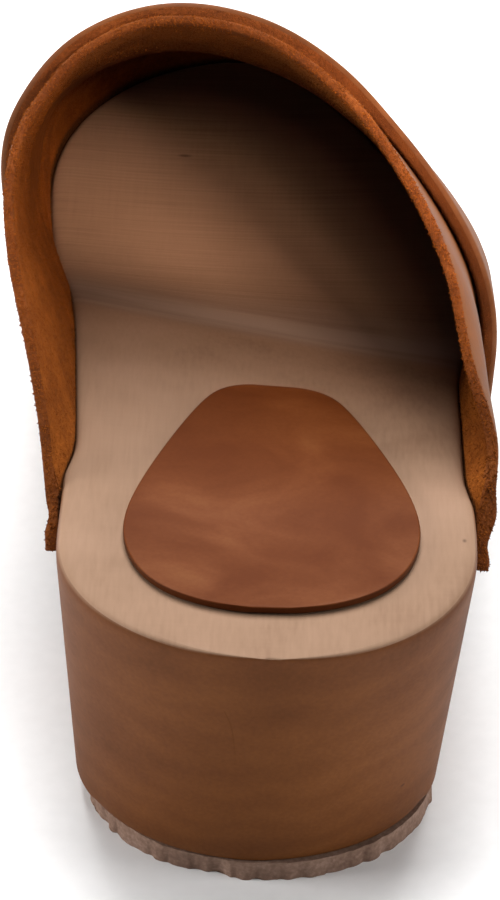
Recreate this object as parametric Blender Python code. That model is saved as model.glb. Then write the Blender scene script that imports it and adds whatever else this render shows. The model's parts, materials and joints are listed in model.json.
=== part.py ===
"""Right-foot clog: one-piece wooden sole with heel, open-backed leather upper with an instep strap.

Sizes are millimetres until a mesh is made. While the shoe is worked out, y = 0 is the back of the heel
seat, x = 0 the middle of the heel, z = 0 the floor; medial is -x, lateral +x and the toe points along +y.
Last, the whole shoe is moved so that the bottom centre of its box is the origin.
"""
import bpy
import bmesh
import numpy as np

MM = 0.001
MEDIAL = -1
LATERAL = 1


def table(columns, rows):
    """A table as one array per named column."""
    return dict(zip(columns.split(), np.array(rows, float).T))


# Plan of the wood, as distances from the middle line on each side.
SOLE_LENGTH = 241.3
TOE_X = -6.0
SEAT_TIP_X = 1.5
SEAT_X = 0.25
SEAT_HALF_WIDTH = 36.25
HEEL_FOOT_X = -0.7
SEAT_BACK_DEPTH = 36.9
HEEL_FOOT_HALF_WIDTH = 32.1
HEEL_FOOT_DEPTH = 26.4
HEEL_UNDERCUT = 10.0
BACK_CURVE = 2.06
PLAN = table("y medial lateral", [
    (36.9, 36.0, 36.5),
    (50.0, 36.0, 36.6),
    (66.0, 36.3, 36.8),
    (82.0, 37.2, 37.0),
    (99.0, 38.3, 37.4),
    (117.0, 39.7, 38.8),
    (139.0, 42.2, 41.1),
    (150.0, 44.0, 41.6),
    (168.0, 46.8, 41.6),
    (182.0, 48.5, 41.6),
    (194.7, 49.1, 41.6),
])
TOE_CAP = {
    MEDIAL: {"start": 194.7, "half_width": 49.1, "curve": 2.15},
    LATERAL: {"start": 150.0, "half_width": 41.6, "curve": 1.6},
}

# Height of the footbed's edge along the foot, and how far the middle lies below that edge.
FOOTBED = table("y edge dish", [
    (0.0, 57.5, 0.0),
    (20.0, 55.3, 0.6),
    (41.0, 53.0, 1.0),
    (62.0, 50.8, 1.0),
    (82.0, 48.6, 0.8),
    (98.0, 45.9, 0.6),
    (113.0, 41.4, 0.8),
    (134.0, 33.9, 1.4),
    (154.0, 27.9, 2.0),
    (170.0, 25.5, 2.2),
    (190.0, 24.6, 2.0),
    (216.0, 25.7, 1.4),
    (232.0, 27.3, 0.8),
    (242.0, 28.8, 0.3),
])
BREAK_SLANT = 0.394
SLANT = table("y share", [(55.0, 0.0), (92.0, 1.0), (118.0, 1.0), (165.0, 0.0)])

# Underside of the wood: heel, breast, arch, tread and toe spring.
RUBBER = 4.2
UNDERSIDE = table("y z", [
    (9.0, 4.2),
    (71.0, 4.2),
    (73.5, 13.5),
    (77.0, 20.0),
    (82.0, 23.6),
    (88.0, 25.4),
    (95.0, 25.6),
    (102.0, 24.4),
    (110.0, 21.6),
    (118.0, 17.6),
    (126.0, 13.2),
    (134.0, 9.2),
    (142.0, 5.8),
    (150.0, 4.2),
    (198.0, 4.2),
    (210.0, 5.6),
    (221.0, 8.9),
    (232.0, 12.6),
    (242.0, 16.6),
])
BREAST_SEAT_Y = 72.0
BREAST_FOOT_Y = 71.0
ARCH_START_Y = 82.0
TREAD_INSET = 1.6
EDGE_STEP = 0.05
EDGE_ROUND = 2.0
FOOT_ROUND = 1.2
ROUND_SHARE = 1 / 6
EDGE_SHOULDER = 0.3
RABBET_DEPTH = 2.0
RABBET_HEIGHT = 11.0
RABBET_SLOPE = 0.5
RABBET_TOE_ROOM = 0.6
RABBET_BACK_Y = {MEDIAL: 57.0, LATERAL: 46.0}
RABBET_FRONT_Y = {MEDIAL: 66.0, LATERAL: 62.0}
BACK_ANGLES = (3.0, 9.0, 16.0, 23.0, 30.0, 37.0, 44.0, 51.0, 58.0, 66.0, 74.0, 82.0, 90.0)
SEAT_STATIONS = (43.5, 50.0, 52.5, 55.0, 57.5, 60.0, 66.0, 72.0)
BREAST_STATIONS = ((75.0, 73.5), (78.5, 77.0), (82.0, 82.0))
FORE_STATIONS = (88, 95, 102, 110, 118, 126, 134, 142, 150, 160, 171, 183, 194.7, 205, 214, 221, 227, 232,
                 235.8, 238.6, 240.4, 241.2)
FOOTBED_STEPS = 8
TREAD_STEPS = 4
OUTLINE_STEPS = 60

# Leather.
GAP = 0.3
LEATHER = 2.0
TAIL_LEATHER = 1.3
TAIL_LENGTH = 20.0
SKIRT_MARGIN = 1.0
UPPER_BACK_Y = {MEDIAL: 46.0, LATERAL: 43.5}
COLUMNS_PER_SECTION = 4
UPPER_ROWS = 18
PROFILE_STEPS = 40
ROW_CROWDING = 1.35
COLUMN_STEP = 0.001

# The upper, a row for each section round the foot from the medial back corner over the toe to the lateral
# one. base: place along the sole (the toe row is the tip). swell: how far the wall stands out at the height
# of the footbed. lean and rise: how it goes on from there. shoulder: the point that draws the wall over.
# rim: the edge of the throat.
TIP = SOLE_LENGTH
UPPER = table("side base swell lean rise shoulder_x shoulder_y shoulder_z rim_x rim_y rim_z", [
    (MEDIAL, 46.0, 0.0, 0.0, 0.1, -37.6, 46.0, 44.8, -37.6, 46.0, 45.6),
    (MEDIAL, 60.0, 0.6, 1.4, 1.8, -39.4, 58.6, 54.4, -39.6, 57.7, 55.8),
    (MEDIAL, 78.0, 0.5, 1.6, 6.0, -42.0, 73.0, 62.0, -42.9, 70.0, 67.4),
    (MEDIAL, 98.0, 0.2, 2.8, 9.5, -46.1, 87.0, 68.0, -46.4, 81.0, 77.2),
    (MEDIAL, 122.0, 0.0, 4.2, 13.0, -49.4, 104.0, 72.0, -48.1, 91.5, 86.3),
    (MEDIAL, 150.0, 0.0, 3.4, 17.0, -48.8, 122.0, 77.0, -46.5, 100.5, 93.6),
    (MEDIAL, 180.0, 0.0, 2.4, 17.0, -45.9, 133.5, 77.0, -42.3, 107.3, 98.7),
    (MEDIAL, 205.0, 0.0, 2.2, 13.5, -40.8, 145.0, 75.4, -36.7, 113.5, 103.1),
    (MEDIAL, 226.0, 0.0, 2.2, 12.0, -32.3, 150.0, 74.5, -28.8, 117.9, 106.3),
    (MEDIAL, TIP, 0.0, 3.2, 14.0, -14.4, 150.5, 73.4, -15.7, 120.0, 107.7),
    (LATERAL, 226.0, 0.0, -0.2, 9.5, 5.4, 144.0, 72.8, -4.0, 118.0, 106.4),
    (LATERAL, 205.0, 0.0, 0.0, 7.5, 15.0, 142.0, 69.0, 5.0, 113.6, 103.5),
    (LATERAL, 180.0, 0.0, 0.0, 8.5, 24.0, 130.0, 68.3, 14.2, 106.8, 98.8),
    (LATERAL, 150.0, 0.0, 0.0, 10.0, 30.4, 115.0, 68.2, 22.0, 98.4, 92.0),
    (LATERAL, 122.0, 0.0, 0.2, 11.0, 35.6, 99.5, 68.4, 27.9, 90.3, 85.2),
    (LATERAL, 98.0, 0.2, 1.2, 9.0, 38.8, 85.6, 67.2, 32.2, 81.7, 77.8),
    (LATERAL, 78.0, 0.6, 2.4, 6.0, 39.6, 73.5, 61.0, 35.4, 70.5, 67.8),
    (LATERAL, 60.0, 1.0, 2.4, 2.0, 40.7, 59.0, 55.0, 40.2, 58.5, 56.6),
    (LATERAL, 43.5, 0.0, 0.0, 0.1, 38.2, 43.5, 43.2, 38.2, 43.5, 44.2),
])

# Strap over the instep, a row for each place across it from the medial end to the lateral end.
STRAP_THICK = 2.0
STRAP_GAP = 0.45
STRAP_COLUMNS = 44
STRAP_ROWS = 5
STRAP_FINENESS = 4
STRAP_LEVEL_STEP = 2.0
STRAP_REACH = 16.0
STRAP_END = 1.5
STRAP_FRONT_SHARE = 0.0
STRAP = table("across back front stand_off", [
    (0.00, 117.0, 145.0, 0.0),
    (0.16, 117.0, 145.0, 0.5),
    (0.34, 118.2, 146.5, 0.7),
    (0.42, 120.7, 149.0, 0.2),
    (0.49, 121.3, 149.7, 0.9),
    (0.61, 120.0, 148.5, 1.6),
    (0.69, 119.0, 147.5, 0.9),
    (0.76, 117.0, 145.5, 0.9),
    (0.84, 115.0, 143.5, 1.1),
    (0.92, 114.0, 142.5, 1.5),
    (1.00, 114.0, 142.5, 0.8),
])

# Leather sock on the heel seat, a row for each place along it from the back.
PAD_X = 1.0
PAD_BACK_Y = 13.7
PAD_THICK = 1.4
PAD_ACROSS = 8
PAD = table("along half_width", [
    (0.0, 3.5),
    (0.8, 8.2),
    (1.9, 11.8),
    (5.6, 18.2),
    (11.5, 22.6),
    (18.6, 24.9),
    (25.0, 25.6),
    (32.0, 25.0),
    (40.3, 23.1),
    (50.3, 20.0),
    (61.3, 16.0),
    (69.3, 12.6),
    (72.7, 10.2),
    (74.4, 7.4),
    (75.2, 4.0),
])

# Rubber under heel and forefoot, cut from sheet with a notched edge.
NOTCH_PITCH = 4.0
NOTCH_DEPTH = 0.6
NOTCH = table("share depth", [(0.1, 1.0), (0.3, 0.0), (0.7, 0.0), (0.9, 1.0)])
NOTCH_REACH = 0.5
HEEL_RUBBER_X = 0.1
HEEL_RUBBER_INSET = 1.1
HEEL_RUBBER_BACK = 0.6
HEEL_RUBBER_FRONT_Y = 70.0
FORE_RUBBER_BACK_Y = 147.0
FORE_RUBBER_INSET = 2.6


def along_curve(xs, ys, slopes, at):
    """Curve through the points (xs, ys) with the slopes given there, read at the places given."""
    at = np.asarray(at, float)
    i = np.clip(np.searchsorted(xs, at) - 1, 0, len(xs) - 2)
    step = xs[i + 1] - xs[i]
    t = np.clip((at - xs[i]) / step, 0.0, 1.0)
    keep = (1 + 2 * t) * (1 - t) ** 2 * ys[i] + t * t * (3 - 2 * t) * ys[i + 1]
    return keep + step * (t * (1 - t) ** 2 * slopes[i] - t * t * (1 - t) * slopes[i + 1])


def smooth(xs, ys, at):
    """Curve through the points that never swings past them."""
    h = np.diff(xs)
    d = np.diff(ys) / h
    slopes = np.concatenate([[d[0]], np.zeros(len(xs) - 2), [d[-1]]])
    for i in np.flatnonzero(d[:-1] * d[1:] > 0):
        w1 = 2 * h[i + 1] + h[i]
        w2 = h[i + 1] + 2 * h[i]
        slopes[i + 1] = (w1 + w2) / (w1 / d[i] + w2 / d[i + 1])
    return along_curve(xs, ys, slopes, at)


def flowing(xs, ys, at):
    """Curve through the points that may round past them, for lines that turn freely in space."""
    return along_curve(xs, ys, np.gradient(ys, xs), at)


def ease(low, high, at):
    t = np.clip((np.asarray(at, float) - low) / (high - low), 0.0, 1.0)
    return t * t * (3 - 2 * t)


def line_run(line):
    """Distance along a line of points, at each of them."""
    return np.concatenate([[0.0], np.cumsum(np.linalg.norm(np.diff(line, axis=0), axis=1))])


def read_line(line, run, at):
    """Points of a line at the distances given."""
    return np.column_stack([np.interp(at, run, values) for values in np.transpose(line)])


def left_of(ahead):
    """Unit plan directions to the left of the directions given."""
    left = np.column_stack([-ahead[:, 1], ahead[:, 0]])
    return left / np.linalg.norm(left, axis=1, keepdims=True)


def plan_x(side, y):
    """Edge of the wood at y, as a signed x."""
    cap = TOE_CAP[side]
    if y <= cap["start"]:
        return side * float(smooth(PLAN["y"], PLAN["medial" if side == MEDIAL else "lateral"], y))
    u = min((y - cap["start"]) / (SOLE_LENGTH - cap["start"]), 1.0)
    from_tip = cap["half_width"] - side * TOE_X
    return TOE_X + side * from_tip * (1 - u ** cap["curve"]) ** (1 / cap["curve"])


def plan_point(side, y, out=0.0):
    """Point of the wood's edge at y, moved outwards by out square to the edge."""
    low = y - EDGE_STEP
    high = min(y + EDGE_STEP, SOLE_LENGTH)
    outward = side * np.array([high - low, plan_x(side, low) - plan_x(side, high)])
    return np.array([plan_x(side, y), y]) + out * outward / np.linalg.norm(outward)


def plan_pair(y, out=0.0):
    return np.array([plan_point(side, y, out) for side in (MEDIAL, LATERAL)])


def rabbet_depth(side, y):
    """Depth of the step that takes the leather, running out softly behind the waist."""
    return RABBET_DEPTH * ease(RABBET_BACK_Y[side], RABBET_FRONT_Y[side], y)


def leather_at(side, y):
    """Thickness of the upper, pared down towards its back corners."""
    back = UPPER_BACK_Y[side]
    return TAIL_LEATHER + (LEATHER - TAIL_LEATHER) * ease(back, back + TAIL_LENGTH, y)


def skirt_out(side, y):
    """Outer face of the leather's lower edge, from the edge of the wood."""
    return leather_at(side, y) + GAP - rabbet_depth(side, y)


def edge_height(x, y):
    """Height of the footbed as if it were flat across, with the slanting break behind the arch."""
    shift = BREAK_SLANT * np.asarray(x) * smooth(SLANT["y"], SLANT["share"], y)
    return smooth(FOOTBED["y"], FOOTBED["edge"], np.asarray(y) + shift)


def footbed_height(x, y, low, high):
    """Footbed between the edges at x = low and x = high."""
    across = (2 * x - low - high) / (high - low)
    return edge_height(x, y) - smooth(FOOTBED["y"], FOOTBED["dish"], y) * (1 - across ** 2)


def back_arc(angle, half_width, depth, start, tip_x, middle_x):
    """The heel's round back at an angle from its tip, as its medial and its lateral point."""
    power = 2 / BACK_CURVE
    half = half_width * np.sin(angle) ** power
    y = start + depth * (1 - np.cos(angle) ** power)
    middle = middle_x + (tip_x - middle_x) * np.cos(angle) ** 2
    return np.array([(middle - half, y), (middle + half, y)])


def sole_stations():
    """Every section of the sole: the edge points of its top and of its foot, medial then lateral."""
    stations = []
    for angle in np.radians(BACK_ANGLES):
        top = back_arc(angle, SEAT_HALF_WIDTH, SEAT_BACK_DEPTH, 0.0, SEAT_TIP_X, SEAT_X)
        foot = back_arc(angle, HEEL_FOOT_HALF_WIDTH, HEEL_FOOT_DEPTH, HEEL_UNDERCUT, HEEL_FOOT_X, HEEL_FOOT_X)
        stations.append((top, foot))
    heel_x = np.array([HEEL_FOOT_X - HEEL_FOOT_HALF_WIDTH, HEEL_FOOT_X + HEEL_FOOT_HALF_WIDTH])
    heel_foot_start = HEEL_UNDERCUT + HEEL_FOOT_DEPTH
    for y in SEAT_STATIONS:
        share = (y - SEAT_BACK_DEPTH) / (BREAST_SEAT_Y - SEAT_BACK_DEPTH)
        foot_y = heel_foot_start + share * (BREAST_FOOT_Y - heel_foot_start)
        stations.append((plan_pair(y), np.column_stack([heel_x, [foot_y, foot_y]])))
    for y, foot_y in BREAST_STATIONS:
        share = ease(BREAST_FOOT_Y, ARCH_START_Y, foot_y)
        feet = plan_pair(foot_y, -TREAD_INSET)
        feet[:, 0] = heel_x + share * (feet[:, 0] - heel_x)
        stations.append((plan_pair(y), feet))
    for y in FORE_STATIONS:
        stations.append((plan_pair(y), plan_pair(y, -TREAD_INSET)))
    return stations


def sole_section(top, foot):
    """One closed loop: across the footbed, down the lateral side, back underneath, up the medial side."""
    y = top[0, 1]
    toe_room = RABBET_TOE_ROOM * ease(TOE_CAP[MEDIAL]["start"], SOLE_LENGTH, y)
    bed = top.copy()
    cuts = [float(rabbet_depth(side, y) + toe_room) for side in (MEDIAL, LATERAL)]
    for i, side in enumerate((MEDIAL, LATERAL)):
        if cuts[i] > 0:
            bed[i] = plan_point(side, y, -cuts[i])
    under = float(smooth(UNDERSIDE["y"], UNDERSIDE["z"], foot[:, 1].mean()))
    width = bed[1, 0] - bed[0, 0]
    turn = min(EDGE_ROUND, width * ROUND_SHARE)
    loop = []
    for share in np.linspace(turn / width, 1 - turn / width, FOOTBED_STEPS + 1):
        x, place = bed[0] + share * (bed[1] - bed[0])
        loop.append((x, place, float(footbed_height(x, place, bed[0, 0], bed[1, 0]))))

    def side_points(side):
        i = 0 if side == MEDIAL else 1
        brim = float(edge_height(*bed[i]))
        ledge = brim - RABBET_HEIGHT

        def wall(z, in_rabbet):
            spot = foot[i] + (z - under) / (brim - under) * (top[i] - foot[i])
            if in_rabbet and cuts[i] > 0 and side * bed[i, 0] < side * spot[0]:
                spot = bed[i]
            return (*spot, z)

        return [
            (bed[i, 0] - side * turn * EDGE_SHOULDER, bed[i, 1], brim - EDGE_ROUND * EDGE_SHOULDER),
            wall(brim - EDGE_ROUND, True),
            wall(ledge, True),
            wall(ledge - RABBET_SLOPE, False),
            wall(under + FOOT_ROUND, False),
        ]

    loop += side_points(LATERAL)
    low, high = foot
    inset = min(FOOT_ROUND / (high[0] - low[0]), ROUND_SHARE)
    for share in np.linspace(1 - inset, inset, TREAD_STEPS + 1):
        loop.append((*(low + share * (high - low)), under))
    loop += side_points(MEDIAL)[::-1]
    return loop


def loft(sections, closed_ring=False):
    """Skin over loops of equal length, with flat ends unless the loops themselves form a ring."""
    count = len(sections[0])
    verts = [tuple(p) for loop in sections for p in loop]
    faces = []
    for j in range(len(sections) - (0 if closed_ring else 1)):
        a = j * count
        b = ((j + 1) % len(sections)) * count
        for k in range(count):
            n = (k + 1) % count
            faces.append((a + k, a + n, b + n, b + k))
    if not closed_ring:
        last = (len(sections) - 1) * count
        faces.append(tuple(range(count))[::-1])
        faces.append(tuple(range(last, last + count)))
    return verts, faces


def slab(top, bottom):
    """Closed skin between two grids of equal shape, joined round their edges."""
    rows, cols = top.shape[:2]
    verts = [tuple(p) for p in top.reshape(-1, 3)] + [tuple(p) for p in bottom.reshape(-1, 3)]
    base = rows * cols
    faces = []
    for r in range(rows - 1):
        for c in range(cols - 1):
            a = r * cols + c
            quad = (a, a + 1, a + cols + 1, a + cols)
            faces.append(quad)
            faces.append(tuple(base + v for v in quad[::-1]))
    edge = list(range(cols))
    edge += [r * cols + cols - 1 for r in range(1, rows)]
    edge += [(rows - 1) * cols + c for c in range(cols - 2, -1, -1)]
    edge += [r * cols for r in range(rows - 2, 0, -1)]
    for a, b in zip(edge, edge[1:] + edge[:1]):
        faces.append((b, a, base + a, base + b))
    return verts, faces


def normals(grid):
    """Unit normals of a grid of points."""
    along = np.gradient(grid, axis=1)
    up = np.gradient(grid, axis=0)
    n = np.cross(up, along)
    return n / np.maximum(np.linalg.norm(n, axis=2, keepdims=True), 1e-9)


def base_line():
    """Plan of the upper's lower edge, from its medial back corner round the toe to the lateral one."""
    turn = np.linspace(0.0, np.pi / 2, OUTLINE_STEPS)
    start = TOE_CAP[MEDIAL]["start"]
    toe = start + (SOLE_LENGTH - start) * np.sin(turn)
    halves = []
    for side in (MEDIAL, LATERAL):
        ys = np.concatenate([np.linspace(UPPER_BACK_Y[side], start, len(turn))[:-1], toe])
        halves.append([plan_point(side, y, skirt_out(side, y)) for y in ys])
    line = np.array(halves[0] + halves[1][-2::-1])
    run = line_run(line)
    return line, run / run[-1]


def upper_columns():
    """Place along the base line of every column of the upper, and of the table's sections."""
    line, run = base_line()
    tip = int(np.argmax(line[:, 1]))
    at = []
    for side, y in zip(UPPER["side"], UPPER["base"]):
        if y >= TIP:
            at.append(run[tip])
        elif side == MEDIAL:
            at.append(np.interp(y, line[:tip, 1], run[:tip]))
        else:
            at.append(np.interp(-y, -line[tip + 1:, 1], run[tip + 1:]))
    at = np.array(at)
    steps = np.arange((len(at) - 1) * COLUMNS_PER_SECTION + 1) / COLUMNS_PER_SECTION
    return at, flowing(np.arange(len(at), dtype=float), at, steps)


def brim_height(x, y):
    """Footbed's edge next to a point of the base line."""
    side = np.where(np.asarray(x) < TOE_X, MEDIAL, LATERAL)
    inner = np.asarray(x) - side * (LEATHER + GAP)
    return edge_height(inner, np.minimum(y, SOLE_LENGTH))


def upper_surface(reach=0.0, rows=UPPER_ROWS, from_brim=0.0):
    """Outer face of the upper as rows from its lower edge to the throat.

    reach carries the face straight on past the throat by that much. from_brim starts it that much over
    the lower edge.
    """
    sections, columns = upper_columns()
    line, run = base_line()
    read = {name: flowing(sections, UPPER[name], columns) for name in UPPER if name != "side"}
    base = read_line(line, run, columns)
    ahead = read_line(line, run, columns + COLUMN_STEP) - read_line(line, run, columns - COLUMN_STEP)
    outward = left_of(ahead)
    grid = np.zeros((rows, len(columns), 3))
    for c in range(len(columns)):
        brim = float(brim_height(base[c, 0], base[c, 1]))
        low = brim - RABBET_HEIGHT + GAP + from_brim
        rim = np.array([read["rim_x"][c], read["rim_y"][c], read["rim_z"][c]])
        shoulder = np.array([read["shoulder_x"][c], read["shoulder_y"][c], read["shoulder_z"][c]])
        top = min(brim + SKIRT_MARGIN, rim[2] - SKIRT_MARGIN)
        foot = np.array([*(base[c] + outward[c] * read["swell"][c]), top])
        first = foot + np.array([*(outward[c] * read["lean"][c]), read["rise"][c]])
        beyond = rim + reach * (rim - shoulder) / np.linalg.norm(rim - shoulder)
        t = np.linspace(0.0, 1.0, PROFILE_STEPS)[:, None]
        curve = (1 - t) ** 3 * foot + 3 * (1 - t) ** 2 * t * first
        curve += 3 * (1 - t) * t * t * shoulder + t ** 3 * rim
        path = np.vstack([[base[c, 0], base[c, 1], low], curve, [beyond] if reach else curve[:0]])
        far = line_run(path)
        grid[:, c] = read_line(path, far, far[-1] * np.linspace(0.0, 1.0, rows) ** ROW_CROWDING)
    return grid


def cross_section(grid, y, points):
    """The grid's outline across the foot at one y, as points at equal steps from medial to lateral."""
    found = []
    for c in range(grid.shape[1]):
        column = grid[:, c]
        over = column[:, 1] >= y
        for r in np.flatnonzero(over[:-1] != over[1:])[-1:]:
            t = (y - column[r, 1]) / (column[r + 1, 1] - column[r, 1])
            found.append(column[r] + t * (column[r + 1] - column[r]))
    foot = grid[0]
    tip = int(np.argmax(foot[:, 1]))
    ends = []
    for part in (slice(0, tip), slice(tip, None)):
        edge = foot[part][np.argsort(foot[part][:, 1])]
        ends.append(read_line(edge, edge[:, 1], [y])[0])
    line = np.vstack([ends[0], found, ends[1]])
    far = line_run(line)
    return read_line(line, far, np.linspace(0.0, far[-1], points))


def make_upper():
    outer = upper_surface()
    foot = outer[0]
    sides = np.where(foot[:, 0] < TOE_X, MEDIAL, LATERAL)
    thick = np.array([leather_at(side, y) for side, y in zip(sides, foot[:, 1])])
    inner = outer - thick[None, :, None] * normals(outer)
    inner[0] = np.column_stack([inner[0, :, :2], outer[0, :, 2]])
    return slab(outer, inner)


def make_strap():
    """Band cut from the upper's own face, lifted off it at the lateral side."""
    skin = upper_surface(reach=STRAP_REACH, rows=STRAP_FINENESS * UPPER_ROWS, from_brim=STRAP_END)
    levels = np.arange(min(STRAP["back"]), max(STRAP["front"]) + STRAP_LEVEL_STEP, STRAP_LEVEL_STEP)
    stack = np.array([cross_section(skin, y, STRAP_FINENESS * STRAP_COLUMNS + 1) for y in levels])
    across = np.linspace(0.0, 1.0, STRAP_COLUMNS + 1)
    fine = np.linspace(0.0, 1.0, stack.shape[1])
    back = smooth(STRAP["across"], STRAP["back"], across)
    front = smooth(STRAP["across"], STRAP["front"], across)
    lift = smooth(STRAP["across"], STRAP["stand_off"], across)
    face = np.zeros((STRAP_ROWS, len(across), 3))
    for r, share in enumerate(np.linspace(0.0, 1.0, STRAP_ROWS)):
        for c, f in enumerate(across):
            y = back[c] + share * (front[c] - back[c])
            line = np.vstack([read_line(level, fine, [f]) for level in stack])
            face[r, c] = read_line(line, levels, [y])[0]
    out = -normals(face)
    fade = np.linspace(1.0, STRAP_FRONT_SHARE, STRAP_ROWS)[:, None, None]
    under = face + out * (STRAP_GAP + lift[None, :, None] * fade)
    over = under + out * STRAP_THICK
    return slab(over, under)


def make_pad():
    low = []
    high = []
    for along, half in zip(PAD["along"], PAD["half_width"]):
        y = PAD_BACK_Y + along
        xs = np.linspace(PAD_X - half, PAD_X + half, PAD_ACROSS + 1)
        z = footbed_height(xs, np.full_like(xs, y), -SEAT_HALF_WIDTH, SEAT_HALF_WIDTH) + GAP
        low.append(np.column_stack([xs, np.full_like(xs, y), z]))
        high.append(np.column_stack([xs, np.full_like(xs, y), z + PAD_THICK]))
    return slab(np.array(high), np.array(low))


def notched(line, teeth):
    """A line of plan points with notches cut in at an even pitch, on the left as the line runs."""
    run = line_run(line)
    at = (np.arange(teeth)[:, None] + NOTCH["share"]).ravel() * run[-1] / teeth
    deep = NOTCH_DEPTH * np.tile(NOTCH["depth"], teeth)
    ahead = read_line(line, run, at + NOTCH_REACH) - read_line(line, run, at - NOTCH_REACH)
    return read_line(line, run, at) - left_of(ahead) * deep[:, None]


def make_heel_rubber():
    arc = np.linspace(0.0, np.pi / 2, OUTLINE_STEPS)
    half_width = HEEL_FOOT_HALF_WIDTH - HEEL_RUBBER_INSET
    depth = HEEL_FOOT_DEPTH + HEEL_RUBBER_BACK
    start = HEEL_UNDERCUT - HEEL_RUBBER_BACK
    middle = HEEL_RUBBER_X
    pairs = np.array([back_arc(angle, half_width, depth, start, middle, middle) for angle in arc])
    medial = np.vstack([pairs[:, 0], [pairs[-1, 0, 0], HEEL_RUBBER_FRONT_Y]])
    lateral = np.vstack([pairs[:, 1], [pairs[-1, 1, 0], HEEL_RUBBER_FRONT_Y]])
    line = np.vstack([lateral[::-1], medial[1:]])
    edge = notched(line, int(round(line_run(line)[-1] / NOTCH_PITCH)))
    edge = np.vstack([lateral[-1] - (NOTCH_DEPTH, 0.0), edge, medial[-1] + (NOTCH_DEPTH, 0.0)])
    sheet = [[(x, y, z) for x, y in edge] for z in (0.0, RUBBER - GAP)]
    return loft(sheet)


def make_forefoot_rubber():
    turn = np.linspace(0.0, np.pi / 2, OUTLINE_STEPS)
    ys = FORE_RUBBER_BACK_Y + (SOLE_LENGTH - FORE_RUBBER_BACK_Y) * np.sin(turn[:-1])
    medial, lateral = np.array([plan_pair(y, -FORE_RUBBER_INSET) for y in ys]).swapaxes(0, 1)
    teeth = int(round((line_run(medial)[-1] + line_run(lateral)[-1]) / 2 / NOTCH_PITCH))
    loops = []
    for m, l in zip(notched(medial, teeth), notched(lateral[::-1], teeth)[::-1]):
        under = [float(smooth(UNDERSIDE["y"], UNDERSIDE["z"], p[1])) for p in (m, l)]
        loops.append([
            (m[0], m[1], under[0] - GAP),
            (l[0], l[1], under[1] - GAP),
            (l[0], l[1], under[1] - RUBBER),
            (m[0], m[1], under[0] - RUBBER),
        ])
    return loft(loops)


def make_sole():
    return loft([sole_section(top, foot) for top, foot in sole_stations()])


MATERIALS = {
    "sanded_wood": ((0.42, 0.26, 0.16, 1.0), 0.6),
    "tan_leather": ((0.30, 0.10, 0.03, 1.0), 0.7),
    "sock_leather": ((0.25, 0.08, 0.025, 1.0), 0.55),
    "sole_rubber": ((0.13, 0.08, 0.07, 1.0), 0.8),
}
PIECES = (
    ("sole", make_sole, "sanded_wood"),
    ("upper", make_upper, "tan_leather"),
    ("instep_strap", make_strap, "tan_leather"),
    ("heel_pad", make_pad, "sock_leather"),
    ("heel_rubber", make_heel_rubber, "sole_rubber"),
    ("forefoot_rubber", make_forefoot_rubber, "sole_rubber"),
)


def material_for(name, node):
    color, roughness = MATERIALS[name]
    material = bpy.data.materials.new(f"{name}_{node}")
    material.use_nodes = True
    shader = material.node_tree.nodes["Principled BSDF"]
    shader.inputs["Base Color"].default_value = color
    shader.inputs["Roughness"].default_value = roughness
    return material


def add_solid(name, verts, faces, shift, material):
    mesh = bpy.data.meshes.new(name)
    mesh.from_pydata([tuple((np.array(v) - shift) * MM) for v in verts], [], faces)
    work = bmesh.new()
    work.from_mesh(mesh)
    bmesh.ops.triangulate(work, faces=work.faces[:])
    bmesh.ops.recalc_face_normals(work, faces=work.faces[:])
    work.to_mesh(mesh)
    work.free()
    solid = bpy.data.objects.new(name, mesh)
    solid.data.materials.append(material_for(material, name))
    bpy.context.scene.collection.objects.link(solid)


for old in list(bpy.data.objects):
    bpy.data.objects.remove(old, do_unlink=True)
shapes = [(name, *make(), material) for name, make, material in PIECES]
reach = np.array([p for _, verts, _, _ in shapes for p in verts])
low_corner = reach.min(axis=0)
high_corner = reach.max(axis=0)
origin = np.array([*(low_corner[:2] + high_corner[:2]) / 2, low_corner[2]])
for name, verts, faces, material in shapes:
    add_solid(name, verts, faces, origin, material)
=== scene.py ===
"""Looks of the right-foot clog: sanded wooden sole, waxed tan leather with a raw flesh side, rubber treads.

The row's frame: +Y to the toe, +X to the lateral side, +Z up, metres, the floor at z = 0.
"""
import bpy
import json
import math
import random
from mathutils import Matrix, Vector
from mathutils.kdtree import KDTree

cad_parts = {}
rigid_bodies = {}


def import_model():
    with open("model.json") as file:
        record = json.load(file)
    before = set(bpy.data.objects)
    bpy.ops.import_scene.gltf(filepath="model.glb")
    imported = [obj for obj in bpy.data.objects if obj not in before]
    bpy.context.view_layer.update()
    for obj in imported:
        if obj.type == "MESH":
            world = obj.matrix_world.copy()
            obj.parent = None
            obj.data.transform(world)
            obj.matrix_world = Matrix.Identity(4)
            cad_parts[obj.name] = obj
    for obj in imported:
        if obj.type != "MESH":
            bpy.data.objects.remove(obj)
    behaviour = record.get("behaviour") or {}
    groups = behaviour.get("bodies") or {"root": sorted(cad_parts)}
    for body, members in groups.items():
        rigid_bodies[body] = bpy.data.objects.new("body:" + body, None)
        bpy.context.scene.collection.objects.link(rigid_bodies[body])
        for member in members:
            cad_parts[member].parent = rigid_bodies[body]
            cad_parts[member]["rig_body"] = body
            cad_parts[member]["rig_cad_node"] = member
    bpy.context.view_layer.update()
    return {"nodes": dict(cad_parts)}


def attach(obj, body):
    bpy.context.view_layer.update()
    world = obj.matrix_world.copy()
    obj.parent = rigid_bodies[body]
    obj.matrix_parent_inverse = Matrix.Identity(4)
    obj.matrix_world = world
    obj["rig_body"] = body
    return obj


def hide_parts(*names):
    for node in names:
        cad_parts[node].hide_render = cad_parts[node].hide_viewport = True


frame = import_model()

MM = 0.001
MERGE = 0.01 * MM
SHARP = math.radians(50)

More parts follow.
